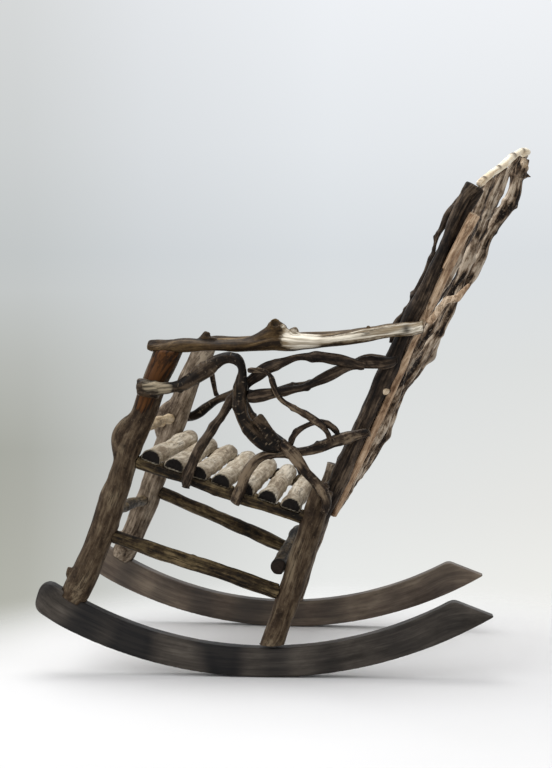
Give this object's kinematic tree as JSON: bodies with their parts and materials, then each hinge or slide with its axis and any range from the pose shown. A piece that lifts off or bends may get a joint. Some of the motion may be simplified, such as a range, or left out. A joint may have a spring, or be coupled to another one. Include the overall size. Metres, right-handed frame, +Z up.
{
  "type": "rocking chair",
  "caption": "Rustic rocking chair of round branches with a split-log slat seat, a fan back under a peaked crest, bent-branch arm panels and curved sawn rockers.",
  "frame": {"origin": "middle of the footprint box, on the floor that the rockers stand on", "axes": "+Z up, -X the way the sitter faces, -Y to the sitter's left"},
  "size_m": [0.9982, 0.6264, 1.0643],
  "materials": {
    "rocker_wood": "planed, dark oiled",
    "leg_wood": "scraped bark, satin",
    "rail_wood": "bark left on, matt",
    "peeled_wood": "peeled, satin",
    "stile_wood": "peeled and darkened, satin",
    "arm_wood": "hand-worn, satin",
    "slat_wood": "split and weathered, matt",
    "post_bark": "bark left on, matt",
    "back_bark": "bark left on, matt",
    "panel_bark": "bark left on, matt"
  },
  "bodies": {
    "root": {"arm_left": "arm_wood", "arm_right": "arm_wood", "back_branch_left_1": "back_bark", "back_branch_left_2": "back_bark", "back_branch_left_3": "back_bark", "back_branch_right_1": "back_bark", "back_branch_right_2": "back_bark", "back_branch_right_3": "back_bark", "back_king": "back_bark", "back_post_left": "post_bark", "back_post_right": "post_bark", "back_stile_left": "stile_wood", "back_stile_right": "stile_wood", "back_vine_right": "back_bark", "crest_left": "peeled_wood", "crest_right": "peeled_wood", "front_leg_left": "leg_wood", "front_leg_right": "leg_wood", "front_seat_rail": "peeled_wood", "front_stretcher": "rail_wood", "panel_arch_left": "panel_bark", "panel_bough_left": "panel_bark", "panel_bough_right": "panel_bark", "panel_bow_left": "panel_bark", "panel_creeper_left": "panel_bark", "panel_creeper_right": "panel_bark", "panel_riser_left": "panel_bark", "panel_stay_left": "panel_bark", "panel_twig_left": "panel_bark", "panel_twig_right": "panel_bark", "rear_leg_left": "leg_wood", "rear_leg_right": "leg_wood", "rear_seat_rail": "rail_wood", "rear_stretcher": "rail_wood", "rocker_left": "rocker_wood", "rocker_right": "rocker_wood", "seat_rail_left": "rail_wood", "seat_rail_right": "rail_wood", "seat_slat_1": "slat_wood", "seat_slat_2": "slat_wood", "seat_slat_3": "slat_wood", "seat_slat_4": "slat_wood", "seat_slat_5": "slat_wood", "seat_slat_6": "slat_wood", "seat_slat_7": "slat_wood", "side_stretcher_left": "rail_wood", "side_stretcher_right": "rail_wood"}
  },
  "joints": []
}
